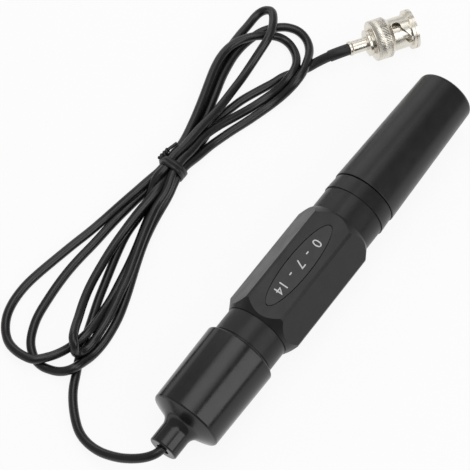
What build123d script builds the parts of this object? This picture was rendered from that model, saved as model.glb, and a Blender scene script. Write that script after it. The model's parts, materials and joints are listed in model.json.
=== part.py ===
"""A hand-held pH electrode: hexagonal grip, push-on cap, cable boot and a tied coax lead with its plug.

Millimetres. +X runs along the probe from the cable to the cap, +Z is up, and the origin lies on the
floor under the middle of the probe, which rests on its side with one grip facet facing up.
"""
from build123d import *
import os
from math import atan2, cos, degrees, radians, sin, sqrt, tan

# Lengths along the probe, from the cable end to the cap end
boot_neck_length = 8.8
boot_shoulder_length = 3.0
boot_wall_length = 28.7
rear_collar_length = 9.4
hex_length = 44.6
front_collar_length = 8.9
barrel_ring_length = 5.7
cap_gap = 0.3
cap_length = 48.8

# Cable boot
boot_neck_d = 10.1
boot_shoulder_d = 24.5
boot_mouth_d = 25.4
boot_neck_edge_round = 0.6
boot_flare_round = 3.6
boot_shoulder_round = 0.8
boot_mouth_round = 0.5
boot_base_wall = 2.6
boot_side_wall = 2.8
neck_flare_d = 4.6
neck_flare_length = 3.0

# Grip body
rear_collar_d = 22.2
rear_spigot_d = 20.6
rear_spigot_length = 18.0
collar_groove_offset = 0.5
collar_groove_width = 0.5
collar_groove_depth = 0.3
hex_across_flats = 24.1
hex_corner_bevel = 0.7
hex_end_step = 0.35
hex_end_angle = 30
front_collar_d = 22.6
grip_bore_d = 16.0

# Oval plate in the upper facet
label_length = 35.0
label_width = 8.4
label_depth = 0.8
label_groove = 0.3

# Sensor barrel
ring_start_d = 23.3
ring_end_d = 22.6
barrel_spigot_length = 18.0
seal_land_d = 19.8
seal_land_length = 8.0
immersion_d = 16.0
immersion_length = 22.0
land_cone_length = 1.5
barrel_bore_d = 12.4
barrel_end_wall = 2.5
guard_length = 10.0
guard_slot_width = 3.6
guard_slot_pairs = 2
guard_slot_turn = 45.0
guard_edge_round = 0.8

# Cap seal
seal_section_d = 1.2
seal_inner_d = 17.8
seal_offset = 3.4
seal_groove_width = 1.5

# Glass stem, bulb, wires and stopper
stem_d = 7.0
stem_wall = 0.8
bulb_d = 9.0
bulb_wall = 0.5
bulb_tip_gap = 1.0
stopper_length = 6.0
stem_seat_depth = 3.0
wire_d = 1.0
wire_tail = 2.0
silver_wire_gap = 3.0
reference_wire_length = 44.0
reference_offset = 4.9
junction_d = 1.6
junction_proud = 0.3
lead_core_d = 1.8

# Protective cap
cap_mouth_d = 23.3
cap_end_d = 20.4
cap_wall = 1.3
cap_end_wall = 1.8
cap_end_round = 1.4
cap_mouth_round = 0.2
cap_inner_round = 1.0

# Lead
cable_d = 3.0
lead_grip_depth = 4.0
lead_bend_offset = 0.2
tail_straight = 4.0
inner_sleeve_d = 3.5
outer_sleeve_d = 4.1
bend_share = 0.45

# Bayonet plug, with its sizes along its own axis from the ferrule's rear
plug_rear = (76.4, 38.5)
plug_angle = -32.8
ferrule_length = 6.6
ferrule_d = 4.7
ferrule_lip_d = 5.2
ferrule_lip_length = 0.8
ferrule_lip_taper = 0.5
ferrule_lip_round = 0.25
cable_seat = 6.2
flange_length = 1.3
flange_d = 9.4
flange_round = 0.3
bearing_d = 8.1
bearing_length = 3.3
retainer_d = 9.4
retainer_length = 0.9
contact_tube_length = 10.2
contact_bore_d = 6.6
contact_slit_width = 0.4
contact_slit_length = 6.0
body_bore_d = 3.2
insulator_length = 4.0
pin_d = 1.35
pin_short_of_tube = 1.5
pin_tip_round = 0.4
gasket_length = 1.0
gasket_d = 9.3
washer_d = 9.3
washer_length = 0.3
bearing_clearance = 0.08

# Coupling sleeve
sleeve_rear_gap = 0.6
sleeve_rear_d = 13.9
sleeve_rear_length = 1.1
sleeve_rear_chamfer = 0.3
knurl_d = 14.2
knurl_length = 4.9
knurl_edge = 0.4
knurl_cone_length = 1.1
waist_d = 11.4
waist_length = 6.4
front_flange_d = 14.0
front_flange_length = 2.1
front_groove_width = 0.35
front_groove_depth = 0.25
front_groove_offset = 0.8
lip_length = 1.7
sleeve_bore_d = 9.9
sleeve_front_chamfer = 0.4
bayonet_slot_d = 2.2
detent_d = 3.3
detent_land = 0.05
bayonet_sweep = 58.0
bayonet_turn = 36.0
bayonet_entry_depth = 0.75

# Hank and tie
hank_height = 7.5
hank_edge_round = 2.0
hank_corner_round = 6.0
tie_x = 4.1
tie_y = 60.0
tie_width = 4.2
tie_thickness = 0.8
hank_waist_width = 9.6
tie_corner_round = 2.4
tie_tail_d = 1.5
tie_tail_length = 8.0
tie_tail_lean = 68.0
tie_tail_turn = -15.0

# Hand-chosen points of the lead after it leaves the boot, of the hank's outline and of its two openings
lead_route = [
    (-82.9, 2.0, 12.0),
    (-85.9, 6.0, 9.8),
    (-88.3, 11.6, 6.8),
    (-89.3, 18.8, 4.0),
    (-87.9, 26.2, 2.2),
    (-84.0, 32.2, 1.6),
    (-78.3, 37.8, 1.5),
    (-72.1, 41.6, 1.5),
]
tail_route = [(59.2, 50.6, 2.2), (63.7, 47.2, 3.0), (68.2, 44.3, 6.2)]
hank_outline = [
    (-1.8, 65.2), (-57.3, 75.6), (-72.3, 74.2), (-81.3, 60.5), (-80.3, 46.5), (-69.3, 38.8), (-55.3, 39), (-1.3, 55.2),
    (10.5, 55.2), (36.7, 49.2), (57.7, 44.6), (70.7, 47.4), (77.2, 59), (76.7, 72.5), (66.7, 77.8), (50.7, 76.2),
    (10.5, 65.2),
]
rear_opening = [
    (-37.3, 63.2), (-57.3, 63.2), (-67.3, 60.6), (-72.3, 56.5), (-72.8, 52.6), (-68.3, 50), (-59.3, 53.2), (-45.3, 57.8),
]
front_opening = [
    (40.7, 60.2), (54.7, 61.6), (65.2, 63), (66.5, 59), (64.7, 55), (61.2, 52.5), (52.7, 56.2), (44.7, 58.2),
]
opening_corner_round = 1.2

# Places along the probe
probe_length = (boot_neck_length + boot_shoulder_length + boot_wall_length + rear_collar_length + hex_length
                + front_collar_length + barrel_ring_length + cap_gap + cap_length)
x_neck = -probe_length / 2
x_flare = x_neck + boot_neck_length
x_shoulder = x_flare + boot_shoulder_length
x_boot_mouth = x_shoulder + boot_wall_length
x_hex_rear = x_boot_mouth + rear_collar_length
x_hex_front = x_hex_rear + hex_length
x_ring = x_hex_front + front_collar_length
x_land = x_ring + barrel_ring_length
x_cap_mouth = x_land + cap_gap
x_cap_end = x_cap_mouth + cap_length
x_cone = x_land + seal_land_length
x_immersion = x_cone + land_cone_length
x_guard = x_immersion + immersion_length
x_tip = x_guard + guard_length
x_barrel_rear = x_ring - barrel_spigot_length
x_stopper_front = x_barrel_rear + stopper_length
x_spigot_end = x_boot_mouth - rear_spigot_length
axis_height = boot_mouth_d / 2


def turned(points, rounds=()):
    """Solid turned about X from (x, radius) points; rounds lists (point number, corner radius)."""
    section = make_face(Polyline(*points, close=True))
    for number, radius in rounds:
        corner = section.vertices().sort_by_distance((*points[number], 0))[0]
        section = fillet(corner, radius)
    return revolve(Plane.XZ * section, Axis.X)


def rod(start, end, diameter, y=0.0, z=0.0):
    """Round rod along X from start to end."""
    return Pos(start, y, z) * Rot(0, 90, 0) * Cylinder(diameter / 2, end - start,
                                                       align=(Align.CENTER, Align.CENTER, Align.MIN))


def cable_boot():
    side_bore = rear_spigot_d / 2
    cavity = boot_shoulder_d / 2 - boot_side_wall
    points = [
        (x_neck, neck_flare_d / 2), (x_neck, boot_neck_d / 2), (x_flare, boot_neck_d / 2),
        (x_shoulder, boot_shoulder_d / 2), (x_boot_mouth, boot_mouth_d / 2), (x_boot_mouth, side_bore),
        (x_spigot_end, side_bore), (x_spigot_end, cavity), (x_shoulder + boot_base_wall, cavity),
        (x_shoulder + boot_base_wall, cable_d / 2), (x_neck + neck_flare_length, cable_d / 2),
    ]
    return turned(points, [(1, boot_neck_edge_round), (2, boot_flare_round), (3, boot_shoulder_round),
                           (4, boot_mouth_round)])


def label_outline(shrink):
    """Oval on the grip's upper facet, smaller all round by shrink."""
    middle = (x_hex_rear + x_hex_front) / 2
    return Pos(middle, 0, 0) * Ellipse(label_length / 2 - shrink, label_width / 2 - shrink)


def grip_body():
    bore = grip_bore_d / 2
    rear, front = rear_collar_d / 2, front_collar_d / 2
    groove_start = x_boot_mouth + collar_groove_offset
    groove_end = groove_start + collar_groove_width
    core = turned([
        (x_spigot_end, bore), (x_spigot_end, rear_spigot_d / 2), (x_boot_mouth, rear_spigot_d / 2),
        (x_boot_mouth, rear), (groove_start, rear), (groove_start, rear - collar_groove_depth),
        (groove_end, rear - collar_groove_depth), (groove_end, rear), (x_hex_rear, rear),
        (x_hex_front, front), (x_ring, front), (x_ring, bore),
    ])
    # Hexagonal prism with bevelled edges, its two ends turned to cones
    hexagon = RegularPolygon(hex_across_flats / 2, 6, major_radius=False)
    hexagon = chamfer(hexagon.vertices(), hex_corner_bevel)
    prism = Pos(x_hex_rear, 0, 0) * extrude(Plane.YZ * hexagon, hex_length)
    reach = hex_across_flats / sqrt(3)
    rear_cone = (reach - rear - hex_end_step) / tan(radians(hex_end_angle))
    front_cone = (reach - front - hex_end_step) / tan(radians(hex_end_angle))
    envelope = turned([
        (x_hex_rear, bore), (x_hex_rear, rear + hex_end_step), (x_hex_rear + rear_cone, reach),
        (x_hex_front - front_cone, reach), (x_hex_front, front + hex_end_step), (x_hex_front, bore),
    ])
    body = core + (prism & envelope)
    recess = Pos(0, 0, hex_across_flats / 2 - label_depth) * extrude(label_outline(0), label_depth)
    return body - recess


def label_plate():
    return Pos(0, 0, hex_across_flats / 2 - label_depth) * extrude(label_outline(label_groove), label_depth)


def sensor_barrel():
    spigot, land, outer = grip_bore_d / 2, seal_land_d / 2, immersion_d / 2
    bore = barrel_bore_d / 2
    groove_start = x_land + seal_offset - seal_groove_width / 2
    groove_end = groove_start + seal_groove_width
    wall_end = x_guard - barrel_end_wall
    barrel = turned([
        (x_barrel_rear, bore), (x_barrel_rear, spigot), (x_ring, spigot), (x_ring, ring_start_d / 2),
        (x_land, ring_end_d / 2), (x_land, land), (groove_start, land), (groove_start, seal_inner_d / 2),
        (groove_end, seal_inner_d / 2), (groove_end, land), (x_cone, land), (x_immersion, outer),
        (x_tip, outer), (x_tip, bore), (x_guard, bore), (x_guard, stem_d / 2), (wall_end, stem_d / 2),
        (wall_end, bore),
    ], [(12, guard_edge_round)])
    # Open slots part the guard round the bulb into prongs
    slot = Pos(x_guard, 0, 0) * Box(guard_length, immersion_d, guard_slot_width,
                                    align=(Align.MIN, Align.CENTER, Align.CENTER))
    for number in range(guard_slot_pairs):
        barrel -= Rot(guard_slot_turn + 180 * number / guard_slot_pairs, 0, 0) * slot
    return barrel - rod(wall_end, x_guard, junction_d, z=-reference_offset)


def cap_seal():
    return Pos(x_land + seal_offset, 0, 0) * Rot(0, 90, 0) * Torus(
        seal_inner_d / 2 + seal_section_d / 2, seal_section_d / 2)


def glass_bulb():
    outer, inner = stem_d / 2, stem_d / 2 - stem_wall
    bulb, hollow = bulb_d / 2, bulb_d / 2 - bulb_wall
    start = x_stopper_front - stem_seat_depth
    centre = x_tip - bulb_tip_gap - bulb
    tube = turned([(start, 0), (start, outer), (centre, outer), (centre, 0)])
    bore = turned([(start, 0), (start, inner), (centre, inner), (centre, 0)])
    ball = Pos(centre, 0, 0) * Sphere(bulb)
    cavity = Pos(centre, 0, 0) * Sphere(hollow)
    return tube + ball - bore - cavity


def barrel_stopper():
    seat = rod(x_stopper_front - stem_seat_depth, x_stopper_front, stem_d)
    stopper = rod(x_barrel_rear, x_stopper_front, barrel_bore_d) - seat
    for z in (0, reference_offset):
        stopper -= rod(x_barrel_rear, x_stopper_front, wire_d, z=z)
    return stopper


def silver_wire():
    return rod(x_barrel_rear - wire_tail, x_guard - silver_wire_gap, wire_d)


def reference_wire():
    return rod(x_barrel_rear - wire_tail, x_barrel_rear + reference_wire_length, wire_d, z=reference_offset)


def reference_junction():
    start = x_guard - barrel_end_wall - junction_proud
    return rod(start, x_guard + junction_proud, junction_d, z=-reference_offset)


def lead_core():
    return rod(x_neck + lead_grip_depth, x_barrel_rear - wire_tail, lead_core_d)


def protective_cap():
    mouth, end = cap_mouth_d / 2, cap_end_d / 2
    floor = x_cap_end - cap_end_wall
    return turned([
        (x_cap_mouth, mouth - cap_wall), (x_cap_mouth, mouth), (x_cap_end, end), (x_cap_end, 0), (floor, 0),
        (floor, end - cap_wall),
    ], [(2, cap_end_round), (1, cap_mouth_round), (5, cap_inner_round)])


def bend_radii(points):
    """Largest tangent arcs that the runs beside each inner point leave room for."""
    corners = [Vector(*p) for p in points]
    radii = []
    for before, corner, after in zip(corners, corners[1:], corners[2:]):
        run_in, run_out = corner - before, after - corner
        turn = run_in.get_angle(run_out)
        radii.append(bend_share * min(run_in.length, run_out.length) / tan(radians(turn / 2)))
    return radii


def tube(points, radii, outer_d, inner_d=0.0):
    """Round tube along straight runs joined by tangent arcs."""
    path = FilletPolyline(*points, radius=radii)
    section = Circle(outer_d / 2)
    if inner_d:
        section -= Circle(inner_d / 2)
    return sweep(Plane(path @ 0, z_dir=path % 0) * section, path)


# The plug's own frame: X along its axis from the ferrule's rear, lying on the floor on its widest ring
plug_height = knurl_d / 2
plug_axis = Vector(cos(radians(plug_angle)), sin(radians(plug_angle)), 0)
plug_start = Vector(*plug_rear, plug_height)
plug_place = Location(tuple(plug_start), (0, 0, plug_angle))
s_flange = ferrule_length
s_neck = s_flange + flange_length
s_retainer = s_neck + bearing_length
s_tube = s_retainer + retainer_length
s_tube_end = s_tube + contact_tube_length
s_sleeve = s_neck + sleeve_rear_gap
s_knurl = s_sleeve + sleeve_rear_length
s_knurl_end = s_knurl + knurl_length
s_waist = s_knurl_end + knurl_cone_length
s_front = s_waist + waist_length
s_sleeve_end = s_front + front_flange_length


def crimp_ferrule():
    bore, outer, lip = cable_d / 2, ferrule_d / 2, ferrule_lip_d / 2
    return turned([
        (0, bore), (0, lip), (ferrule_lip_length, lip), (ferrule_lip_length + ferrule_lip_taper, outer),
        (ferrule_length, outer), (ferrule_length, bore),
    ], [(1, ferrule_lip_round)])


def plug_body():
    bore, tube_r, deep = contact_bore_d / 2, bearing_d / 2, body_bore_d / 2
    body = turned([
        (s_flange, deep), (s_flange, flange_d / 2), (s_neck, flange_d / 2), (s_neck, tube_r),
        (s_retainer, tube_r), (s_retainer, retainer_d / 2), (s_tube, retainer_d / 2), (s_tube, tube_r),
        (s_tube_end, tube_r), (s_tube_end, bore), (s_tube, bore), (s_tube, deep),
    ], [(1, flange_round), (2, flange_round)])
    # Crossed slits make the contact tube springy
    slit = Pos(s_tube_end, 0, 0) * Box(contact_slit_length, bearing_d, contact_slit_width,
                                       align=(Align.MAX, Align.CENTER, Align.CENTER))
    for turn in (0, 90):
        body -= Rot(turn, 0, 0) * slit
    return body


def plug_insulator():
    hole, stem, head = pin_d / 2, body_bore_d / 2, contact_bore_d / 2
    end = s_tube + insulator_length
    return turned([
        (s_flange, hole), (s_flange, stem), (s_tube, stem), (s_tube, head), (end, head), (end, hole),
    ])


def contact_pin():
    start, end = cable_seat, s_tube_end - pin_short_of_tube
    return turned([(start, 0), (start, pin_d / 2), (end, pin_d / 2), (end, 0)], [(2, pin_tip_round)])


def plug_ring(start, length, outer_d):
    inner = bearing_d / 2
    end = start + length
    return turned([(start, inner), (start, outer_d / 2), (end, outer_d / 2), (end, inner)])


def coupling_sleeve():
    lip, bore = bearing_d / 2 + bearing_clearance, sleeve_bore_d / 2
    knurl, waist, front = knurl_d / 2, waist_d / 2, front_flange_d / 2
    groove = s_front + front_groove_offset
    groove_end, groove_floor = groove + front_groove_width, front - front_groove_depth
    sleeve = turned([
        (s_sleeve, lip), (s_sleeve, sleeve_rear_d / 2), (s_knurl, sleeve_rear_d / 2),
        (s_knurl, knurl - knurl_edge), (s_knurl + knurl_edge, knurl), (s_knurl_end - knurl_edge, knurl),
        (s_waist, waist), (s_front, waist), (s_front, front), (groove, front),
        (groove, groove_floor), (groove_end, groove_floor), (groove_end, front), (s_sleeve_end, front),
        (s_sleeve_end, bore + sleeve_front_chamfer), (s_sleeve_end - sleeve_front_chamfer, bore),
        (s_sleeve + lip_length, bore), (s_sleeve + lip_length, lip),
    ], [(1, sleeve_rear_chamfer)])
    # A slanted slot on each side leads the jack's stud from the front to a round detent
    detent_x = s_waist + detent_d / 2 + detent_land
    entry_x = s_front - bayonet_slot_d / 2
    half_sweep = waist * sin(radians(bayonet_sweep / 2))
    run = Vector(entry_x - detent_x, -2 * half_sweep)
    slot = Pos((detent_x + entry_x) / 2, 0) * SlotCenterToCenter(run.length, bayonet_slot_d,
                                                                 rotation=degrees(atan2(run.Y, run.X)))
    slot += Pos(detent_x, half_sweep) * Circle(detent_d / 2)
    cut = Pos(0, 0, bore * cos(radians(bayonet_sweep))) * extrude(slot, knurl)
    entry = Pos(entry_x, 0, 0) * Box(s_sleeve_end - entry_x, bayonet_slot_d, bore + bayonet_entry_depth,
                                     align=(Align.MIN, Align.CENTER, Align.MIN))
    cut += Rot(bayonet_sweep / 2, 0, 0) * entry
    for turn in (bayonet_turn, bayonet_turn + 180):
        sleeve -= Rot(turn, 0, 0) * cut
    return sleeve


def hank_tie():
    middle = Pos(tie_x - tie_width / 2, tie_y, hank_height / 2)
    walls = 2 * tie_thickness
    outer = RectangleRounded(hank_waist_width + walls, hank_height, tie_corner_round)
    inner = RectangleRounded(hank_waist_width, hank_height - walls, tie_corner_round - tie_thickness)
    band = middle * extrude(Plane.YZ * (outer - inner), tie_width)
    # The twisted ends stand off the band's upper edge
    root = Pos(tie_x, tie_y + hank_waist_width / 2 - tie_tail_d, hank_height - tie_thickness)
    tail = root * Rot(0, tie_tail_lean, tie_tail_turn) * Cylinder(
        tie_tail_d / 2, tie_tail_length, align=(Align.CENTER, Align.CENTER, Align.MIN))
    inside = middle * extrude(Plane.YZ * inner, tie_width)
    return band + (tail - inside)


def rounded_outline(points, radius):
    face = make_face(Polyline(*points, close=True))
    return fillet(face.vertices(), radius)


def cable_hank(tie):
    """The tied loops as one solid with the bundle's outer shape, waisted at the tie."""
    outline = rounded_outline(hank_outline, hank_corner_round)
    hank = extrude(outline, hank_height)
    rims = hank.faces().sort_by(Axis.Z)
    hank = fillet(rims[0].edges() + rims[-1].edges(), hank_edge_round)
    for opening in (rear_opening, front_opening):
        hank -= extrude(rounded_outline(opening, opening_corner_round), hank_height)
    return hank - tie


# Routes of the lead and the tail, with the largest arcs that their runs allow
lead_inside = (x_neck + lead_grip_depth, 0, axis_height)
lead_exit = (x_neck - lead_bend_offset, 0, axis_height)
lead_points = [lead_inside, lead_exit] + lead_route
tail_bend = plug_start - plug_axis * tail_straight
tail_points = tail_route + [tuple(tail_bend), tuple(plug_start + plug_axis * cable_seat)]
lead_radii = bend_radii(lead_points)
tail_radii = bend_radii(tail_points)
sleeve_points = tail_points[:-1] + [tuple(plug_start)]
outer_sleeve_start = (Vector(*tail_points[-3]) + Vector(*tail_points[-2])) / 2
outer_sleeve_points = [tuple(outer_sleeve_start), tail_points[-2], tuple(plug_start)]
print("lead radii", [round(r, 1) for r in lead_radii])
print("tail radii", [round(r, 1) for r in tail_radii])

on_axis = Pos(0, 0, axis_height)
tie = hank_tie()
nodes = {
    "cable_boot": on_axis * cable_boot(),
    "grip_body": on_axis * grip_body(),
    "label_plate": on_axis * label_plate(),
    "sensor_barrel": on_axis * sensor_barrel(),
    "cap_seal": on_axis * cap_seal(),
    "glass_bulb": on_axis * glass_bulb(),
    "barrel_stopper": on_axis * barrel_stopper(),
    "silver_wire": on_axis * silver_wire(),
    "reference_wire": on_axis * reference_wire(),
    "reference_junction": on_axis * reference_junction(),
    "lead_core": on_axis * lead_core(),
    "protective_cap": on_axis * protective_cap(),
    "cable_lead": tube(lead_points, lead_radii, cable_d),
    "cable_hank": cable_hank(tie),
    "hank_tie": tie,
    "cable_tail": tube(tail_points, tail_radii, cable_d),
    "inner_sleeve": tube(sleeve_points, tail_radii, inner_sleeve_d, cable_d),
    "outer_sleeve": tube(outer_sleeve_points, tail_radii[-1:], outer_sleeve_d, inner_sleeve_d),
    "crimp_ferrule": plug_place * crimp_ferrule(),
    "plug_body": plug_place * plug_body(),
    "plug_insulator": plug_place * plug_insulator(),
    "contact_pin": plug_place * contact_pin(),
    "plug_gasket": plug_place * plug_ring(s_tube, gasket_length, gasket_d),
    "spring_washer": plug_place * plug_ring(s_retainer - washer_length, washer_length, washer_d),
    "coupling_sleeve": plug_place * coupling_sleeve(),
}

os.makedirs("parts", exist_ok=True)
for name, shape in nodes.items():
    export_step(shape, f"parts/{name}.step")
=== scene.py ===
"""Looks of the pH electrode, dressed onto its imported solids.

Metres, in the part's own frame: +X runs along the probe from the cable to the cap, +Z is up, floor at 0.
Sizes and places are written in millimetres and multiplied by MM where they meet Blender.
"""
import json
from math import cos, pi, radians, sin

import bpy
from mathutils import Matrix, Vector


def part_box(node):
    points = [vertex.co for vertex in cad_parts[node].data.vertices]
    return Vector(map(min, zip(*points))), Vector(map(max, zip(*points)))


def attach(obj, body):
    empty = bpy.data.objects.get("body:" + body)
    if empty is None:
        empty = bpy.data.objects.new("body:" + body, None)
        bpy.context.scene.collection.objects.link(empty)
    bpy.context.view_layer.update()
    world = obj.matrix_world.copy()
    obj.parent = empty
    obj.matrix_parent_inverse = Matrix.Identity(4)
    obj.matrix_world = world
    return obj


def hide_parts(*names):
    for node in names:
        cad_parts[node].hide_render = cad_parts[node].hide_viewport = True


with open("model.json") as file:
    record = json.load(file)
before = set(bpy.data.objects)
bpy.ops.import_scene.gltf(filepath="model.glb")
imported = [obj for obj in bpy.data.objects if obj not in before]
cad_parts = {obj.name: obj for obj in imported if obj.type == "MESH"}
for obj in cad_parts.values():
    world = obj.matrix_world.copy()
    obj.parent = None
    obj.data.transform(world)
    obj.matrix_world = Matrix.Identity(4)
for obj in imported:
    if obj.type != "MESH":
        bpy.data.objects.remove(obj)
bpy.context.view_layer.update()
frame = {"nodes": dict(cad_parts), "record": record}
nodes = frame["nodes"]
scene = bpy.context.scene

MM = 0.001

# Camera, fitted to the photograph
camera_place = (-222.35, -135.3, 598.1)
camera_target = (-1.57, 29.56, 0.0)
camera_lens = 150.05
camera_sensor = 36.0
camera_clip = 10.0

# Cord, where it leaves the boot, and the shrink sleeves on its end, measured back from the end of the cord
cable_d = 3.1
inner_sleeve_d = 3.5
inner_sleeve_start = 27.5
outer_sleeve_d = 4.1
outer_sleeve_start = 13.4
sleeve_stop = 5.9
sleeve_edge = 0.12
sleeve_edge_steps = 2
sleeve_edge_angle = 60

# Tie: seven runs of cord packed round one another, and the ribbon wrapped twice round them
tie_x = 4.1
tie_y = 60.0
tie_half_length = 2.8
tie_lean = 0.3
row_low, row_middle, row_high = 2.2, 4.8, 7.4
run_gap = 1.5

# Bayonet plug: its rear end, its direction, and the knurled ring along its axis
plug_rear = (76.4, 38.5, 7.1)
plug_angle = -32.8
knurl_start = 8.9
knurl_length = 5.1
knurl_r = 7.1
ridge_count = 78
ridge_r = 0.5
ridge_proud = 0.04

# Print on the oval plate, with the share of the font's size that its figures fill
print_text = "0  -  7  -  14"
print_middle = (-7.6, 0.0)
print_height = 3.3
figure_share = 0.7
print_thickness = 0.02

# Fineness of curves and round sections
curve_order = 3
curve_steps = 6
cord_roundness = 4
sleeve_facets = 24
wire_facets = 12
twist_steps = 16
ridge_facets = 24

# Patterns of the materials, and the range that most of a noise keeps to
noise_low, noise_high = 0.3, 0.7
shade_size = 6.0
gloss_size = 3.0
plating_size = 2.5
mark_size = 0.25
mark_stretch = 40.0
mark_detail = 2.0
mark_depth = 0.002
glass_size = 4.0
glass_ior = 1.47
ink_size = 0.2

# Floor: its drop below the part, its size, its paint, and the share of plain white seen over the paint
floor_drop = 0.16
floor_size = 4000.0
floor_grey = 0.9
floor_white = 0.9

# Sky: the light that falls on the object, and what the object mirrors, a white horizon under a dim ceiling
fill_strength = 0.35
# Heights of a line of sight where the horizon ends and the ceiling starts
horizon_top, ceiling_start = 0.01, 0.05
# Strength of the ceiling on each side, and how far aside it stops changing
ceiling_right, ceiling_left = 0.22, 0.42
ceiling_turn = 0.4


# Places of the cord

def tie_pass(side, height, forward):
    """Two points where a run of cord passes the tie, side run gaps from the bundle's middle."""
    y = tie_y + side * run_gap
    rear = (tie_x - tie_half_length, y - tie_lean, height)
    front = (tie_x + tie_half_length, y + tie_lean, height)
    return [rear, front] if forward else [front, rear]


lead_from_boot = [
    (-75.3, 0.0, 12.7), (-79.5, 0.0, 12.7), (-83.3, 1.9, 12.0), (-86.3, 6.0, 9.8), (-88.6, 11.5, 6.8),
    (-90.0, 18.8, 4.0), (-88.7, 26.4, 2.2), (-84.4, 32.3, 1.6), (-78.5, 37.8, 1.5), (-72.5, 40.9, 1.5),
    (-68.8, 43.0, 1.5), (-65.1, 44.6, 1.5), (-61.5, 46.0, 1.5), (-57.5, 47.5, 1.5), (-53.4, 49.1, 1.5),
    (-48.1, 51.2, 1.5), (-42.2, 53.1, 1.5), (-36.1, 55.1, 1.5), (-30.3, 56.9, 1.5), (-23.3, 58.7, 1.5),
    (-16.3, 59.0, 1.7), (-10.3, 59.7, 2.8), (-6.0, 61.3, 4.3), (-2.2, 62.0, 6.6),
]
pointed_front_loop = [
    (12.7, 61.1, 7.1), (20.2, 61.3, 7.0), (27.9, 61.0, 6.2), (33.5, 61.2, 5.4), (40.1, 61.8, 4.6),
    (46.1, 62.2, 4.2), (51.7, 62.7, 4.6), (57.4, 63.0, 6.0), (62.4, 63.2, 7.4), (67.0, 64.4, 7.6),
    (71.2, 67.0, 6.4), (73.6, 69.2, 5.2), (74.1, 71.3, 3.9), (72.9, 73.3, 2.7), (70.2, 74.2, 1.8),
    (65.6, 74.1, 1.5), (61.6, 74.2, 1.5), (57.3, 74.0, 1.5), (53.4, 73.7, 1.5), (49.4, 73.1, 1.5),
    (44.8, 71.8, 1.5), (40.0, 70.3, 1.5), (33.7, 68.2, 1.5), (27.7, 66.4, 1.5), (21.7, 64.8, 1.5),
    (13.2, 62.6, 2.0),
]
middle_rear_loop = [
    (-4.3, 62.5, 1.7), (-10.3, 63.6, 1.5), (-16.3, 64.2, 1.5), (-23.3, 64.8, 1.5), (-33.0, 65.0, 1.5),
    (-39.0, 65.5, 1.5), (-45.3, 65.7, 1.5), (-52.4, 65.3, 1.5), (-58.9, 64.5, 1.5), (-64.6, 63.6, 1.5),
    (-69.2, 61.9, 1.5), (-73.0, 59.8, 1.5), (-75.6, 57.0, 1.5), (-77.1, 54.1, 1.5), (-77.4, 51.1, 1.5),
    (-76.8, 48.6, 1.6), (-76.1, 46.0, 2.4), (-74.8, 43.5, 3.8), (-72.8, 41.8, 4.6), (-69.7, 41.0, 4.0),
    (-66.1, 40.6, 2.0), (-62.6, 40.3, 1.5), (-58.6, 40.3, 1.5), (-54.5, 40.8, 1.5), (-50.2, 41.6, 1.5),
    (-45.7, 42.9, 1.5), (-39.3, 45.3, 1.5), (-31.3, 48.5, 2.5), (-23.4, 51.3, 3.4), (-16.4, 53.3, 2.7),
    (-10.3, 54.6, 2.2), (-4.3, 55.3, 3.1),
]
wide_front_loop = [
    (12.7, 56.6, 3.0), (19.7, 56.0, 1.7), (23.8, 55.0, 1.5), (28.5, 53.7, 1.5), (34.2, 51.8, 1.5),
    (39.0, 50.4, 1.5), (44.2, 49.0, 1.5), (49.2, 47.3, 3.0), (53.7, 45.7, 6.2), (58.9, 45.7, 7.0),
    (64.0, 47.5, 5.0), (69.5, 49.9, 2.8), (73.3, 53.6, 1.7), (74.8, 58.2, 1.5), (73.7, 62.5, 1.5),
    (71.4, 65.4, 1.5), (68.8, 67.6, 1.5), (66.1, 69.1, 1.5), (62.3, 70.1, 1.5), (57.9, 70.8, 1.5),
    (53.0, 70.7, 1.6), (48.4, 69.9, 1.9), (42.9, 68.6, 2.3), (38.5, 67.1, 2.4), (33.6, 65.6, 2.3),
    (27.7, 63.7, 2.3), (21.7, 62.2, 2.8), (13.2, 60.5, 4.1),
]
narrow_rear_loop = [
    (-2.2, 59.3, 5.4), (-6.0, 58.8, 6.3), (-10.3, 58.8, 5.9), (-16.2, 59.2, 5.0), (-23.1, 59.0, 4.3),
    (-31.3, 58.4, 4.1), (-41.7, 56.6, 4.6), (-48.2, 55.0, 5.2), (-53.8, 52.9, 6.2), (-58.8, 50.5, 7.6),
    (-61.6, 49.2, 8.9), (-63.9, 47.9, 10.2), (-66.0, 46.6, 11.0), (-67.4, 45.0, 10.3), (-68.5, 44.2, 8.5),
    (-68.5, 43.9, 6.4), (-67.5, 43.6, 4.5), (-65.1, 42.9, 3.3), (-62.0, 42.6, 3.4), (-58.5, 43.1, 3.2),
    (-55.3, 43.5, 3.3), (-51.1, 44.1, 3.6), (-46.8, 45.0, 3.8), (-42.8, 46.2, 4.2), (-37.2, 47.4, 4.6),
    (-31.2, 49.4, 5.2), (-23.2, 52.1, 5.7), (-16.3, 54.2, 5.4), (-10.3, 55.9, 5.0), (-4.3, 56.2, 5.9),
]
middle_front_loop = [
    (12.7, 58.5, 6.0), (19.7, 59.2, 4.9), (26.6, 57.9, 3.6), (33.4, 55.7, 2.4), (39.4, 53.8, 1.5),
    (43.5, 52.5, 1.5), (47.6, 51.2, 1.9), (51.2, 49.6, 3.4), (54.8, 49.0, 5.4), (58.8, 49.0, 5.8),
    (62.6, 50.6, 4.4), (66.1, 53.6, 2.5), (68.4, 57.4, 1.6), (68.7, 60.9, 1.8), (67.4, 63.6, 2.8),
    (64.9, 66.0, 4.0), (62.6, 68.4, 4.5), (60.0, 70.5, 4.5), (57.1, 72.1, 4.5), (53.4, 73.2, 4.5),
    (48.9, 73.3, 4.5), (43.8, 72.3, 4.5), (38.3, 70.5, 4.5), (33.2, 68.7, 4.5), (27.7, 66.9, 4.5),
    (21.7, 65.1, 4.5), (13.2, 62.9, 4.9),
]
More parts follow.
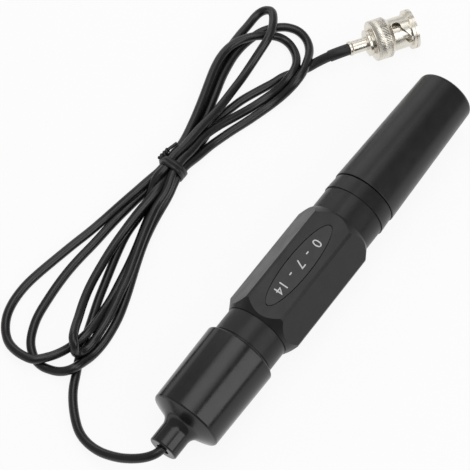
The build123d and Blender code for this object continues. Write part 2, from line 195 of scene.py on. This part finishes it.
wide_rear_loop = [
    (-4.3, 64.0, 4.1), (-10.3, 65.0, 3.8), (-16.3, 66.3, 2.9), (-23.8, 67.8, 1.6), (-30.5, 68.9, 1.5),
    (-36.4, 70.2, 1.5), (-41.8, 71.2, 1.5), (-47.3, 72.2, 1.5), (-53.1, 73.2, 1.5), (-58.8, 73.8, 1.5),
    (-64.5, 73.5, 1.5), (-69.2, 72.4, 1.5), (-72.7, 70.6, 1.5), (-75.5, 68.2, 1.7), (-77.8, 65.0, 2.4),
    (-78.8, 61.0, 3.4), (-78.8, 57.1, 4.3), (-78.1, 54.0, 4.6), (-75.6, 51.8, 4.4), (-72.5, 49.8, 3.8),
    (-69.6, 48.3, 3.9), (-66.8, 47.1, 4.4), (-63.1, 46.1, 4.8), (-59.6, 45.7, 4.8), (-55.2, 46.1, 3.7),
    (-50.0, 47.2, 2.0), (-44.6, 48.0, 1.5), (-40.3, 49.0, 1.5), (-31.2, 51.0, 1.5), (-23.2, 53.4, 1.5),
    (-16.3, 55.8, 1.5), (-10.3, 57.3, 1.6), (-4.3, 58.2, 1.9),
]
tail_to_plug = [
    (12.7, 58.9, 1.8), (19.7, 59.2, 1.6), (27.2, 60.5, 1.5), (32.4, 59.8, 1.5), (36.0, 59.0, 1.5),
    (39.8, 58.2, 1.5), (43.8, 56.8, 1.5), (48.3, 55.0, 1.5), (52.6, 53.2, 1.5), (56.3, 52.1, 1.7),
    (60.3, 49.6, 1.8), (64.0, 47.4, 1.8), (67.4, 45.6, 3.0), (70.2, 43.1, 5.4), (73.0, 40.6, 7.0),
    (76.4, 38.5, 7.1), (81.6, 35.1, 7.1),
]
cord_route = (
    lead_from_boot + tie_pass(1, row_high, True)
    + pointed_front_loop + tie_pass(1, row_low, False)
    + middle_rear_loop + tie_pass(-2, row_middle, True)
    + wide_front_loop + tie_pass(0, row_middle, False)
    + narrow_rear_loop + tie_pass(-1, row_high, True)
    + middle_front_loop + tie_pass(2, row_middle, False)
    + wide_rear_loop + tie_pass(-1, row_low, True)
    + tail_to_plug
)

# The tie's ribbon: where one turn passes, as (away from the bundle's middle in Y, height)
ribbon_turn = [
    (0.0, 9.4), (-2.0, 9.3), (-3.7, 8.3), (-4.8, 6.4), (-5.0, 4.8), (-4.8, 3.2), (-3.7, 1.3), (-2.0, 0.4),
    (0.0, 0.35), (2.0, 0.4), (3.7, 1.3), (4.8, 3.2), (5.0, 4.8), (4.8, 6.4), (3.7, 8.3), (2.0, 9.3),
]
ribbon_seam = 14
ribbon_start_x = -1.5
ribbon_pitch = 1.5
ribbon_profile = [
    (-0.85, -0.15), (0.85, -0.15), (0.85, 0.2), (0.62, 0.26), (0.4, 0.1), (0.24, 0.3), (0.0, 0.36),
    (-0.24, 0.3), (-0.4, 0.1), (-0.62, 0.26), (-0.85, 0.2),
]
twist_root = (3.9, 65.0, 6.2)
twist_tip = (7.9, 65.1, 6.6)
twist_turns = 1.5
twist_wire_d = 1.2
twist_spread, twist_spread_tip = 0.75, 0.25
stub_d = 1.1
stub_line = [(7.2, 65.2, 6.5), (8.6, 64.9, 6.7), (10.2, 64.4, 6.9), (11.6, 64.0, 7.1)]


# Materials

def new_material(name, colour, roughness, metallic=0.0):
    """Material with its plain values on the shader's own sockets; returns it with its tree and shader."""
    material = bpy.data.materials.new(name)
    material.use_nodes = True
    tree = material.node_tree
    shader = tree.nodes["Principled BSDF"]
    shader.inputs["Base Color"].default_value = (*colour, 1.0)
    shader.inputs["Roughness"].default_value = roughness
    shader.inputs["Metallic"].default_value = metallic
    return material, tree, shader


def noise(tree, size, stretch=(1.0, 1.0, 1.0), detail=3.0, turn=0.0):
    """Noise on Object coordinates, its size in mm, drawn out along an axis and swung about Z."""
    place = tree.nodes.new("ShaderNodeTexCoord")
    mapping = tree.nodes.new("ShaderNodeMapping")
    mapping.inputs["Rotation"].default_value = (0.0, 0.0, radians(-turn))
    mapping.inputs["Scale"].default_value = [1.0 / (size * MM * s) for s in stretch]
    pattern = tree.nodes.new("ShaderNodeTexNoise")
    pattern.inputs["Scale"].default_value = 1.0
    pattern.inputs["Detail"].default_value = detail
    tree.links.new(place.outputs["Object"], mapping.inputs["Vector"])
    tree.links.new(mapping.outputs["Vector"], pattern.inputs["Vector"])
    return pattern.outputs["Fac"]


def spread(tree, value, low, high):
    """Maps a noise onto the range from low to high."""
    ramp = tree.nodes.new("ShaderNodeMapRange")
    ramp.inputs["From Min"].default_value = noise_low
    ramp.inputs["From Max"].default_value = noise_high
    ramp.inputs["To Min"].default_value = low
    ramp.inputs["To Max"].default_value = high
    tree.links.new(value, ramp.inputs["Value"])
    return ramp.outputs["Result"]


def tint(tree, shader, value, first, second):
    """Colour between two shades, by a noise."""
    mix = tree.nodes.new("ShaderNodeMix")
    mix.data_type = "RGBA"
    mix.inputs["A"].default_value = (*first, 1.0)
    mix.inputs["B"].default_value = (*second, 1.0)
    tree.links.new(value, mix.inputs["Factor"])
    tree.links.new(mix.outputs["Result"], shader.inputs["Base Color"])


def bump(tree, shader, value, depth):
    """Raises the surface by a noise, depth in mm."""
    relief = tree.nodes.new("ShaderNodeBump")
    relief.inputs["Strength"].default_value = 1.0
    relief.inputs["Distance"].default_value = depth * MM
    tree.links.new(value, relief.inputs["Height"])
    tree.links.new(relief.outputs["Normal"], shader.inputs["Normal"])


def moulded(name, dark, light, rough, grain, depth, stretch=(1.0, 1.0, 1.0), gloss=0.5):
    """Plastic or rubber of two near shades, unevenly rough and finely grained; gloss sets its shine."""
    material, tree, shader = new_material(name, dark, rough[0])
    tint(tree, shader, spread(tree, noise(tree, shade_size), 0.0, 1.0), dark, light)
    tree.links.new(spread(tree, noise(tree, gloss_size, stretch), *rough), shader.inputs["Roughness"])
    bump(tree, shader, noise(tree, grain, stretch), depth)
    shader.inputs["Specular IOR Level"].default_value = gloss
    return material


def plated(name, dark, light, rough, turn=0.0):
    """Plated metal with fine marks round its axis from turning."""
    material, tree, shader = new_material(name, dark, rough[0], 1.0)
    marks = noise(tree, mark_size, (1.0, mark_stretch, mark_stretch), mark_detail, turn)
    tint(tree, shader, spread(tree, noise(tree, plating_size), 0.0, 1.0), dark, light)
    tree.links.new(spread(tree, marks, *rough), shader.inputs["Roughness"])
    bump(tree, shader, marks, mark_depth)
    return material


boot_rubber = moulded("boot_rubber", (0.010, 0.010, 0.0097), (0.012, 0.012, 0.0116),
                      rough=(0.16, 0.22), grain=0.5, depth=0.003, gloss=0.4)
grip_plastic = moulded("grip_plastic", (0.010, 0.010, 0.0099), (0.013, 0.013, 0.0128),
                       rough=(0.3, 0.38), grain=0.35, depth=0.03, stretch=(2.0, 1.0, 1.0), gloss=0.31)
label_plastic = moulded("label_plastic", (0.021, 0.021, 0.022), (0.024, 0.024, 0.025),
                        rough=(0.42, 0.5), grain=0.15, depth=0.003, gloss=0.43)
barrel_plastic = moulded("barrel_plastic", (0.009, 0.009, 0.0088), (0.012, 0.012, 0.0118),
                         rough=(0.3, 0.38), grain=0.3, depth=0.005, gloss=0.33)
cap_plastic = moulded("cap_plastic", (0.009, 0.009, 0.0088), (0.011, 0.011, 0.0108),
                      rough=(0.29, 0.36), grain=0.25, depth=0.005, gloss=0.4)
seal_rubber = moulded("seal_rubber", (0.012, 0.012, 0.012), (0.018, 0.018, 0.018),
                      rough=(0.55, 0.65), grain=0.2, depth=0.01)
cable_jacket = moulded("cable_jacket", (0.008, 0.008, 0.0078), (0.010, 0.010, 0.0098),
                       rough=(0.24, 0.34), grain=0.35, depth=0.008, gloss=0.45)
shrink_sleeve = moulded("shrink_sleeve", (0.010, 0.010, 0.010), (0.014, 0.014, 0.014),
                        rough=(0.4, 0.5), grain=0.3, depth=0.015, gloss=0.4)
tie_plastic = moulded("tie_plastic", (0.009, 0.009, 0.009), (0.014, 0.014, 0.013),
                      rough=(0.3, 0.42), grain=0.3, depth=0.012, gloss=0.45)
stopper_resin = moulded("stopper_resin", (0.08, 0.08, 0.08), (0.11, 0.11, 0.11),
                        rough=(0.4, 0.5), grain=0.6, depth=0.01)
junction_ceramic = moulded("junction_ceramic", (0.78, 0.76, 0.7), (0.86, 0.84, 0.79),
                           rough=(0.8, 0.9), grain=0.1, depth=0.03)
core_plastic = moulded("core_plastic", (0.76, 0.76, 0.72), (0.82, 0.82, 0.78),
                       rough=(0.4, 0.5), grain=0.4, depth=0.005)
insulator_plastic = moulded("insulator_plastic", (0.84, 0.84, 0.82), (0.9, 0.9, 0.88),
                            rough=(0.4, 0.5), grain=0.2, depth=0.004)
gasket_silicone = moulded("gasket_silicone", (0.5, 0.16, 0.12), (0.62, 0.21, 0.15),
                          rough=(0.5, 0.6), grain=0.2, depth=0.008)
nickel = plated("nickel", (0.7, 0.66, 0.59), (0.78, 0.74, 0.66), rough=(0.25, 0.3), turn=plug_angle)
pin_gold = plated("pin_gold", (0.8, 0.58, 0.26), (0.86, 0.66, 0.32), rough=(0.16, 0.24), turn=plug_angle)
silver = plated("silver", (0.7, 0.69, 0.67), (0.78, 0.77, 0.75), rough=(0.25, 0.35))


def clear_glass():
    """Clear glass of slightly uneven polish."""
    material, tree, shader = new_material("bulb_glass", (0.93, 0.97, 0.96), 0.04)
    shader.inputs["Transmission Weight"].default_value = 1.0
    shader.inputs["IOR"].default_value = glass_ior
    tree.links.new(spread(tree, noise(tree, glass_size), 0.02, 0.06), shader.inputs["Roughness"])
    return material


def white_ink():
    """White ink, worn a little unevenly."""
    material, tree, shader = new_material("white_ink", (0.62, 0.62, 0.62), 0.5)
    tint(tree, shader, spread(tree, noise(tree, ink_size), 0.0, 1.0), (0.5, 0.5, 0.5), (0.7, 0.7, 0.7))
    return material


bulb_glass = clear_glass()
finishes = {
    "boot_rubber": boot_rubber, "grip_plastic": grip_plastic, "label_plastic": label_plastic,
    "barrel_plastic": barrel_plastic, "seal_rubber": seal_rubber, "bulb_glass": bulb_glass,
    "stopper_resin": stopper_resin, "silver": silver, "junction_ceramic": junction_ceramic,
    "core_plastic": core_plastic, "cap_plastic": cap_plastic, "cable_jacket": cable_jacket,
    "tie_plastic": tie_plastic, "shrink_sleeve": shrink_sleeve, "nickel": nickel,
    "insulator_plastic": insulator_plastic, "pin_gold": pin_gold, "gasket_silicone": gasket_silicone,
}
for subpart in frame["record"]["subparts"]:
    node = nodes[subpart["node"]]
    node.data.materials.clear()
    node.data.materials.append(finishes[subpart["material_slot"]])


# Helpers for meshes and geometry trees

def add_object(name, data):
    """New object in the scene with this mesh, curve, lamp or camera."""
    piece = bpy.data.objects.new(name, data)
    scene.collection.objects.link(piece)
    return piece


def baked(piece):
    """Plain mesh of an object with its modifiers and curves worked out; the object itself goes."""
    bpy.context.view_layer.update()
    seen = piece.evaluated_get(bpy.context.evaluated_depsgraph_get())
    mesh = bpy.data.meshes.new_from_object(seen)
    name = piece.name
    bpy.data.objects.remove(piece)
    return add_object(name, mesh)


def new_tree(name, inputs):
    """Geometry tree with a geometry input and named values; returns it with its input and output nodes."""
    tree = bpy.data.node_groups.new(name, "GeometryNodeTree")
    tree.interface.new_socket("Geometry", in_out="INPUT", socket_type="NodeSocketGeometry")
    for label in inputs:
        kind = "NodeSocketInt" if label == "Count" else "NodeSocketFloat"
        tree.interface.new_socket(label, in_out="INPUT", socket_type=kind)
    tree.interface.new_socket("Geometry", in_out="OUTPUT", socket_type="NodeSocketGeometry")
    return tree, tree.nodes.new("NodeGroupInput"), tree.nodes.new("NodeGroupOutput")


def end_tree(tree, geometry, result, material):
    """Makes a tree's copies real and gives them their finish."""
    real = tree.nodes.new("GeometryNodeRealizeInstances")
    skin = tree.nodes.new("GeometryNodeSetMaterial")
    skin.inputs["Material"].default_value = material
    tree.links.new(geometry, real.inputs["Geometry"])
    tree.links.new(real.outputs["Geometry"], skin.inputs["Geometry"])
    tree.links.new(skin.outputs["Geometry"], result.inputs["Geometry"])


def run_tree(piece, tree, values):
    """Runs a geometry tree on an object with its named inputs and returns the result as a plain mesh."""
    modifier = piece.modifiers.new(tree.name, "NODES")
    modifier.node_group = tree
    for socket in tree.interface.items_tree:
        if socket.in_out == "INPUT" and socket.name in values:
            modifier[socket.identifier] = values[socket.name]
    return baked(piece)


# Camera

def make_camera():
    """Camera at the photograph's point of view."""
    data = bpy.data.cameras.new("camera")
    data.lens = camera_lens
    data.sensor_width = camera_sensor
    data.clip_start = camera_clip * MM
    camera = add_object("camera", data)
    place, target = Vector(camera_place) * MM, Vector(camera_target) * MM
    camera.location = place
    camera.rotation_euler = (target - place).to_track_quat("-Z", "Y").to_euler()
    scene.camera = camera


# Cord, sleeves and tie

def smooth_curve(name, points):
    """Curve of one open NURBS spline with these points, in mm, as its control points."""
    data = bpy.data.curves.new(name, "CURVE")
    data.dimensions = "3D"
    spline = data.splines.new("NURBS")
    spline.points.add(len(points) - 1)
    for point, place in zip(spline.points, points):
        point.co = (*(Vector(place) * MM), 1.0)
    spline.order_u = curve_order
    spline.use_endpoint_u = True
    spline.resolution_u = curve_steps
    data.resolution_u = curve_steps
    return data


def make_cord():
    """The whole coax cord, from inside the boot to the plug."""
    data = smooth_curve("coax_cord", cord_route)
    data.bevel_depth = cable_d / 2 * MM
    data.bevel_resolution = cord_roundness
    data.use_fill_caps = True
    data.materials.append(cable_jacket)
    cord = add_object("coax_cord", data)
    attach(cord, "electrode")
    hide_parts("cable_lead", "cable_hank", "cable_tail")
    return cord


def sleeve_tree():
    """Tube round the end of a cord, between two distances measured back from the cord's end."""
    tree, given, result = new_tree("shrink_tube", ["Start", "Stop", "Radius"])
    length = tree.nodes.new("GeometryNodeCurveLength")
    start = tree.nodes.new("ShaderNodeMath")
    start.operation = "SUBTRACT"
    stop = tree.nodes.new("ShaderNodeMath")
    stop.operation = "SUBTRACT"
    trim = tree.nodes.new("GeometryNodeTrimCurve")
    trim.mode = "LENGTH"
    ring = tree.nodes.new("GeometryNodeCurvePrimitiveCircle")
    ring.inputs["Resolution"].default_value = sleeve_facets
    tube = tree.nodes.new("GeometryNodeCurveToMesh")
    tube.inputs["Fill Caps"].default_value = True
    link = tree.links.new
    link(given.outputs["Geometry"], length.inputs["Curve"])
    link(length.outputs["Length"], start.inputs[0])
    link(given.outputs["Start"], start.inputs[1])
    link(length.outputs["Length"], stop.inputs[0])
    link(given.outputs["Stop"], stop.inputs[1])
    link(given.outputs["Geometry"], trim.inputs["Curve"])
    link(start.outputs["Value"], trim.inputs["Start"])
    link(stop.outputs["Value"], trim.inputs["End"])
    link(trim.outputs["Curve"], tube.inputs["Curve"])
    link(given.outputs["Radius"], ring.inputs["Radius"])
    link(ring.outputs["Curve"], tube.inputs["Profile Curve"])
    end_tree(tree, tube.outputs["Mesh"], result, shrink_sleeve)
    return tree


def make_sleeve(name, tree, start, diameter):
    """Shrink sleeve on the end of the cord, with its rims rounded."""
    route = add_object(name + "_piece", smooth_curve(name, cord_route))
    values = {"Start": start * MM, "Stop": sleeve_stop * MM, "Radius": diameter / 2 * MM}
    sleeve = run_tree(route, tree, values)
    sleeve.data.shade_smooth()
    edge = sleeve.modifiers.new("edge", "BEVEL")
    edge.width = sleeve_edge * MM
    edge.segments = sleeve_edge_steps
    edge.angle_limit = radians(sleeve_edge_angle)
    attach(sleeve, "electrode")
    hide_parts(name)
    return sleeve


def ribbon_mesh(name, points, across, profile):
    """Closed band with a flat profile along a line of points; across is the direction of its width."""
    rings = []
    for number, point in enumerate(points):
        before, after = points[max(number - 1, 0)], points[min(number + 1, len(points) - 1)]
        along = (after - before).normalized()
        width = (across - along * across.dot(along)).normalized()
        outward = width.cross(along)
        rings.append([point + width * u * MM + outward * v * MM for u, v in profile])
    size = len(profile)
    faces = []
    for first in range(0, (len(rings) - 1) * size, size):
        for k in range(size):
            beside = (k + 1) % size
            faces.append((first + k, first + beside, first + size + beside, first + size + k))
    last = (len(rings) - 1) * size
    faces.append(tuple(reversed(range(size))))
    faces.append(tuple(range(last, last + size)))
    mesh = bpy.data.meshes.new(name)
    mesh.from_pydata([tuple(v) for ring in rings for v in ring], [], faces)
    mesh.update()
    return mesh


def curve_points(points):
    """Places along the smooth curve with these control points."""
    line = baked(add_object("line", smooth_curve("line", points)))
    places = [v.co.copy() for v in line.data.vertices]
    bpy.data.objects.remove(line)
    return places


def twist_tree():
    """Pair of wires wound round each other along +Z."""
    inputs = ["Turns", "Spread", "Tip spread", "Length", "Wire radius"]
    tree, given, result = new_tree("twisted_ends", inputs)
    coil = tree.nodes.new("GeometryNodeCurveSpiral")
    coil.inputs["Resolution"].default_value = twist_steps
    ring = tree.nodes.new("GeometryNodeCurvePrimitiveCircle")
    ring.inputs["Resolution"].default_value = wire_facets
    wire = tree.nodes.new("GeometryNodeCurveToMesh")
    wire.inputs["Fill Caps"].default_value = True
    other = tree.nodes.new("GeometryNodeTransform")
    other.inputs["Rotation"].default_value = (0.0, 0.0, pi)
    pair = tree.nodes.new("GeometryNodeJoinGeometry")
    link = tree.links.new
    link(given.outputs["Turns"], coil.inputs["Rotations"])
    link(given.outputs["Spread"], coil.inputs["Start Radius"])
    link(given.outputs["Tip spread"], coil.inputs["End Radius"])
    link(given.outputs["Length"], coil.inputs["Height"])
    link(given.outputs["Wire radius"], ring.inputs["Radius"])
    link(coil.outputs["Curve"], wire.inputs["Curve"])
    link(ring.outputs["Curve"], wire.inputs["Profile Curve"])
    link(wire.outputs["Mesh"], other.inputs["Geometry"])
    link(wire.outputs["Mesh"], pair.inputs["Geometry"])
    link(other.outputs["Geometry"], pair.inputs["Geometry"])
    end_tree(tree, pair.outputs["Geometry"], result, tie_plastic)
    return tree


def make_tie():
    """Ribbon that goes twice round the bundle, the twist where its ends meet, and the stub beyond it."""
    turn = ribbon_turn[ribbon_seam:] + ribbon_turn + ribbon_turn[:ribbon_seam]
    step = ribbon_pitch / len(ribbon_turn)
    path = [(tie_x + ribbon_start_x + step * k, tie_y + y, z) for k, (y, z) in enumerate(turn)]
    places = curve_points([twist_root] + path + [twist_root])
    band = add_object("tie_band", ribbon_mesh("tie_band", places, Vector((1, 0, 0)), ribbon_profile))
    band.data.materials.append(tie_plastic)
    band.data.shade_smooth()
    root, tip = Vector(twist_root) * MM, Vector(twist_tip) * MM
    values = {
        "Turns": twist_turns, "Spread": twist_spread * MM, "Tip spread": twist_spread_tip * MM,
        "Length": (tip - root).length, "Wire radius": twist_wire_d / 2 * MM,
    }
    twist = run_tree(add_object("tie_twist", bpy.data.meshes.new("tie_twist")), twist_tree(), values)
    lean = (tip - root).to_track_quat("Z", "Y").to_matrix().to_4x4()
    twist.data.transform(Matrix.Translation(root) @ lean)
    twist.data.shade_smooth()
    line = smooth_curve("tie_stub", stub_line)
    line.bevel_depth = stub_d / 2 * MM
    line.use_fill_caps = True
    line.materials.append(tie_plastic)
    stub = baked(add_object("tie_stub", line))
    for piece in (band, twist, stub):
        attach(piece, "electrode")
    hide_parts("hank_tie")
    return [band, twist, stub]


# Plug

def knurl_tree():
    """Round ridges in a ring about Z, mostly sunk in the ring that carries them."""
    tree, given, result = new_tree("knurl", ["Count", "Ring radius", "Ridge radius", "Length"])
    ring = tree.nodes.new("GeometryNodeMeshCircle")
    ridge = tree.nodes.new("GeometryNodeMeshCylinder")
    ridge.inputs["Vertices"].default_value = ridge_facets
    smooth = tree.nodes.new("GeometryNodeSetShadeSmooth")
    copies = tree.nodes.new("GeometryNodeInstanceOnPoints")
    link = tree.links.new
    link(given.outputs["Count"], ring.inputs["Vertices"])
    link(given.outputs["Ring radius"], ring.inputs["Radius"])
    link(given.outputs["Ridge radius"], ridge.inputs["Radius"])
    link(given.outputs["Length"], ridge.inputs["Depth"])
    link(ridge.outputs["Mesh"], smooth.inputs["Geometry"])
    link(ridge.outputs["Side"], smooth.inputs["Selection"])
    link(ring.outputs["Mesh"], copies.inputs["Points"])
    link(smooth.outputs["Geometry"], copies.inputs["Instance"])
    end_tree(tree, copies.outputs["Instances"], result, nickel)
    return tree


def make_knurl():
    """Knurl on the coupling sleeve, turned to the plug's own direction."""
    values = {
        "Count": ridge_count, "Ring radius": (knurl_r - ridge_r + ridge_proud) * MM,
        "Ridge radius": ridge_r * MM, "Length": knurl_length * MM,
    }
    knurl = run_tree(add_object("knurl", bpy.data.meshes.new("knurl")), knurl_tree(), values)
    axis = Vector((cos(radians(plug_angle)), sin(radians(plug_angle)), 0))
    middle = Vector(plug_rear) * MM + axis * (knurl_start + knurl_length / 2) * MM
    knurl.data.transform(Matrix.Translation(middle) @ axis.to_track_quat("Z", "Y").to_matrix().to_4x4())
    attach(knurl, "coupling")
    return knurl


# Print on the oval plate

def make_print():
    """Plain numbers on the oval plate, to be read from the side where the cord lies."""
    data = bpy.data.curves.new("label_numbers", "FONT")
    data.body = print_text
    data.size = print_height / figure_share * MM
    data.align_x = "CENTER"
    data.align_y = "CENTER"
    data.extrude = print_thickness / 2 * MM
    numbers = baked(add_object("label_numbers", data))
    numbers.data.materials.clear()
    numbers.data.materials.append(white_ink())
    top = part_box("label_plate")[1].z
    middle = Vector((print_middle[0] * MM, print_middle[1] * MM, top + print_thickness / 2 * MM))
    numbers.data.transform(Matrix.Translation(middle) @ Matrix.Rotation(pi, 4, "Z"))
    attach(numbers, "electrode")


# Stage

def larger(tree, first, second):
    """The larger of two values."""
    node = tree.nodes.new("ShaderNodeMath")
    node.operation = "MAXIMUM"
    tree.links.new(first, node.inputs[0])
    tree.links.new(second, node.inputs[1])
    return node.outputs["Value"]


def ray_kinds(tree):
    """Two values: 1 for camera rays, and 1 for mirror and glass rays."""
    path = tree.nodes.new("ShaderNodeLightPath")
    mirror = larger(tree, path.outputs["Is Glossy Ray"], path.outputs["Is Transmission Ray"])
    return path.outputs["Is Camera Ray"], mirror


def make_floor():
    """Pale floor that reads as white and keeps a faint shadow."""
    half = floor_size / 2 * MM
    level = -floor_drop * MM
    mesh = bpy.data.meshes.new("floor")
    corners = [(-half, -half, level), (half, -half, level), (half, half, level), (-half, half, level)]
    mesh.from_pydata(corners, [], [(0, 1, 2, 3)])
    material = bpy.data.materials.new("pale_floor")
    material.use_nodes = True
    tree = material.node_tree
    tree.nodes.remove(tree.nodes["Principled BSDF"])
    paint = tree.nodes.new("ShaderNodeBsdfDiffuse")
    paint.inputs["Color"].default_value = (floor_grey, floor_grey, floor_grey, 1.0)
    white = tree.nodes.new("ShaderNodeEmission")
    share = tree.nodes.new("ShaderNodeMath")
    share.operation = "MULTIPLY"
    share.inputs[1].default_value = floor_white
    mix = tree.nodes.new("ShaderNodeMixShader")
    tree.links.new(larger(tree, *ray_kinds(tree)), share.inputs[0])
    tree.links.new(share.outputs["Value"], mix.inputs["Fac"])
    tree.links.new(paint.outputs["BSDF"], mix.inputs[1])
    tree.links.new(white.outputs["Emission"], mix.inputs[2])
    tree.links.new(mix.outputs["Shader"], tree.nodes["Material Output"].inputs["Surface"])
    mesh.materials.append(material)
    add_object("floor", mesh)


def make_world():
    """White behind the object and at the horizon, and a dim ceiling that keeps dark plastic deep."""
    world = bpy.data.worlds.new("studio")
    world.use_nodes = True
    scene.world = world
    tree = world.node_tree
    sky = tree.nodes["Background"]
    sky.inputs["Color"].default_value = (1.0, 1.0, 1.0, 1.0)
    place = tree.nodes.new("ShaderNodeTexCoord")
    parts = tree.nodes.new("ShaderNodeSeparateXYZ")
    dome = tree.nodes.new("ShaderNodeMapRange")
    dome.inputs["From Min"].default_value = horizon_top
    dome.inputs["From Max"].default_value = ceiling_start
    dome.inputs["To Min"].default_value = 1.0
    side = tree.nodes.new("ShaderNodeMapRange")
    side.inputs["From Min"].default_value = -ceiling_turn
    side.inputs["From Max"].default_value = ceiling_turn
    side.inputs["To Min"].default_value = ceiling_right
    side.inputs["To Max"].default_value = ceiling_left
    mix = tree.nodes.new("ShaderNodeMix")
    mix.inputs["A"].default_value = fill_strength
    camera, mirror = ray_kinds(tree)
    link = tree.links.new
    link(place.outputs["Generated"], parts.inputs["Vector"])
    link(parts.outputs["Z"], dome.inputs["Value"])
    link(parts.outputs["Y"], side.inputs["Value"])
    link(side.outputs["Result"], dome.inputs["To Max"])
    link(mirror, mix.inputs["Factor"])
    link(dome.outputs["Result"], mix.inputs["B"])
    link(larger(tree, mix.outputs["Result"], camera), sky.inputs["Strength"])


def softbox(name, place, target, width, height, power, turn=0.0):
    """Rectangular lamp aimed at a target and turned about its own line of sight."""
    data = bpy.data.lights.new(name, "AREA")
    data.shape = "RECTANGLE"
    data.size = width * MM
    data.size_y = height * MM
    data.energy = power
    lamp = add_object(name, data)
    lamp.visible_camera = False
    lamp.location = Vector(place) * MM
    aim = (Vector(target) * MM - lamp.location).to_track_quat("-Z", "Y").to_matrix()
    lamp.rotation_euler = (aim @ Matrix.Rotation(radians(turn), 3, "Z")).to_euler()


scene.view_settings.view_transform = "Standard"
make_camera()
cord = make_cord()
shrink_tube = sleeve_tree()
inner_sleeve = make_sleeve("inner_sleeve", shrink_tube, inner_sleeve_start, inner_sleeve_d)
outer_sleeve = make_sleeve("outer_sleeve", shrink_tube, outer_sleeve_start, outer_sleeve_d)
tie_pieces = make_tie()
knurl = make_knurl()
make_print()
make_floor()
make_world()
softbox("overhead_softbox", place=(87, 82, 650), target=(87, 82, 0),
        width=700, height=430, power=1.1, turn=41.0)
softbox("overhead_core", place=(87, 82, 649), target=(87, 82, 0),
        width=640, height=270, power=0.45, turn=41.0)
softbox("right_softbox", place=(60, -560, 440), target=(60, 0, 12),
        width=350, height=640, power=1.6)
softbox("left_softbox", place=(400, 560, 340), target=(340, 0, 12),
        width=470, height=500, power=0.78)
